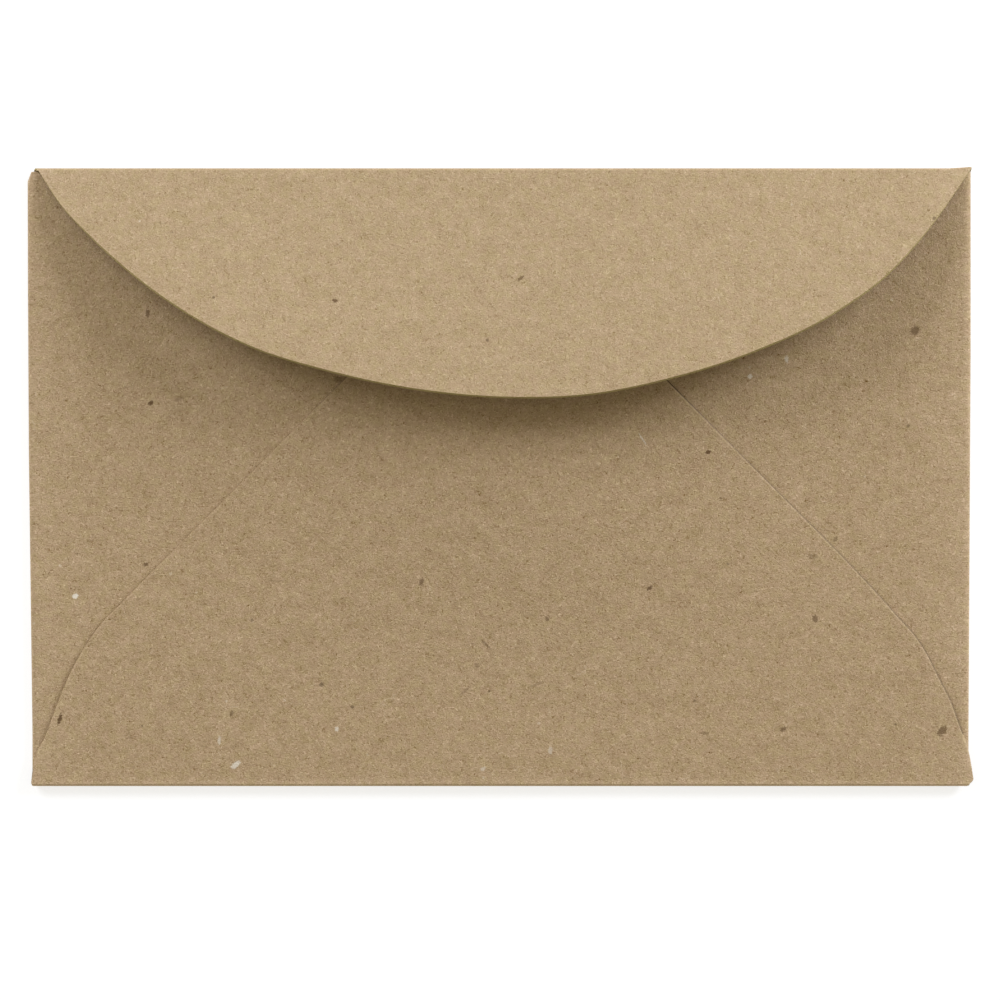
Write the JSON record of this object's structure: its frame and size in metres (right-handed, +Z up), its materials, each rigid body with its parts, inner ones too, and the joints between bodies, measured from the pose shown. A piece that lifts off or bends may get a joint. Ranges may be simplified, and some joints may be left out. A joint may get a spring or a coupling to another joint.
{
  "type": "paper envelope",
  "caption": "Small rectangular paper envelope folded from one sheet, with a rounded top flap standing slightly open over a glued bottom flap and side flaps.",
  "frame": {"origin": "centre of the underside, on the surface that the envelope lies on", "axes": "+X along the long side, +Y from the bottom fold to the fold of the top flap, +Z up from the front panel through the flaps"},
  "size_m": [0.0925, 0.0604, 0.0063],
  "materials": {
    "kraft": "uncoated recycled kraft, matt, with fibres and specks"
  },
  "bodies": {
    "root": {"envelope": "kraft"}
  },
  "joints": []
}
